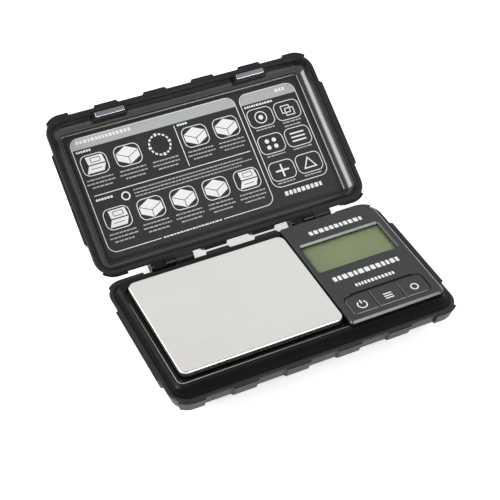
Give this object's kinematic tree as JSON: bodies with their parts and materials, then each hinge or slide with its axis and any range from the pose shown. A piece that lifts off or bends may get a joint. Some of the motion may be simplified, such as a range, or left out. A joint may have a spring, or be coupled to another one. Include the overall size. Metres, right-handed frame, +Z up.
{
  "type": "digital gram scale",
  "caption": "Pocket digital gram scale in an armoured clamshell case: steel weighing tray, display and key panel under a hinged lid.",
  "frame": {"origin": "middle of the footprint with the lid open, on the surface that the rubber feet stand on", "axes": "+X towards the display side, +Y towards the hinge and the open lid, +Z up"},
  "size_m": [0.1272, 0.1388, 0.0535],
  "materials": {
    "case_black": "fine-grained black moulded plastic",
    "deck_black": "satin black moulded plastic",
    "lid_black": "black moulded plastic, glossy inside",
    "label_charcoal": "printed vinyl sticker, charcoal with white line drawings",
    "tray_steel": "satin stainless sheet with a polished turned edge",
    "key_rubbery": "matt black key caps with white legends",
    "window_clear": "clear acrylic window",
    "lcd_olive": "olive reflective liquid crystal display",
    "frame_black": "plain black plastic",
    "diffuser_white": "milky light guide",
    "elastomer_grey": "layered conductive rubber",
    "board_green": "solder-masked circuit board",
    "chip_epoxy": "black epoxy blob",
    "screw_steel": "zinc-plated screws",
    "nickel": "nickel plating",
    "holder_black": "plain black plastic",
    "rubber_black": "soft black rubber",
    "battery_wrap": "shrink-wrapped battery can",
    "cell_aluminium": "milled aluminium beam",
    "gauge_white": "silicone-coated strain gauge",
    "lead_grey": "grey PVC cable jacket",
    "carrier_black": "glass-filled black plastic",
    "tape_grey": "double-sided foam tape",
    "spring_steel": "nickel-plated spring steel"
  },
  "bodies": {
    "base": {"lower_shell": "case_black", "top_deck": "deck_black", "rubber_feet": "rubber_black", "case_screws": "screw_steel", "keeper_plates": "screw_steel", "display_window": "window_clear", "lcd_glass": "lcd_olive", "lcd_holder": "frame_black", "lcd_backlight": "diffuser_white", "lcd_connector": "elastomer_grey", "main_board": "board_green", "board_screws": "screw_steel", "controller_chip": "chip_epoxy", "key_domes": "spring_steel", "battery_front": "battery_wrap", "battery_rear": "battery_wrap", "battery_bridge": "spring_steel", "battery_terminals": "spring_steel", "load_cell": "cell_aluminium", "load_cell_mount": "cell_aluminium", "load_cell_screws": "screw_steel", "strain_gauges": "gauge_white", "load_cell_lead": "lead_grey", "lead_socket": "diffuser_white", "hinge_pin_left": "screw_steel", "hinge_pin_right": "screw_steel"},
    "lid": {"lid_shell": "lid_black", "lid_label": "label_charcoal", "magnet_holders": "holder_black", "magnet_left": "nickel", "magnet_right": "nickel"},
    "platform": {"weighing_tray": "tray_steel", "tray_pads": "tape_grey", "tray_carrier": "carrier_black", "platform_screws": "screw_steel"},
    "power_key": {"power_key": "key_rubbery"},
    "mode_key": {"mode_key": "key_rubbery"},
    "tare_key": {"tare_key": "key_rubbery"},
    "battery_door": {"battery_door": "case_black"}
  },
  "joints": [
    {"name": "lid_hinge", "type": "hinge", "parent": "base", "child": "lid", "pos_m": [0, 0.00509, 0.0138], "axis": [1, 0, 0], "range_deg": [0, 147.5]},
    {"name": "tray_press", "type": "slide", "parent": "base", "child": "platform", "axis": [0, 0, -1], "range_m": [0, 0.0003], "stiffness_N_per_m": 32000},
    {"name": "power_key_press", "type": "slide", "parent": "base", "child": "power_key", "axis": [0, 0, -1], "range_m": [0, 0.0004], "stiffness_N_per_m": 3800},
    {"name": "mode_key_press", "type": "slide", "parent": "base", "child": "mode_key", "axis": [0, 0, -1], "range_m": [0, 0.0004], "stiffness_N_per_m": 3800},
    {"name": "tare_key_press", "type": "slide", "parent": "base", "child": "tare_key", "axis": [0, 0, -1], "range_m": [0, 0.0004], "stiffness_N_per_m": 3800},
    {"name": "battery_door_lift", "type": "slide", "parent": "base", "child": "battery_door", "axis": [0, 0, -1], "range_m": [0, 0.012]}
  ]
}
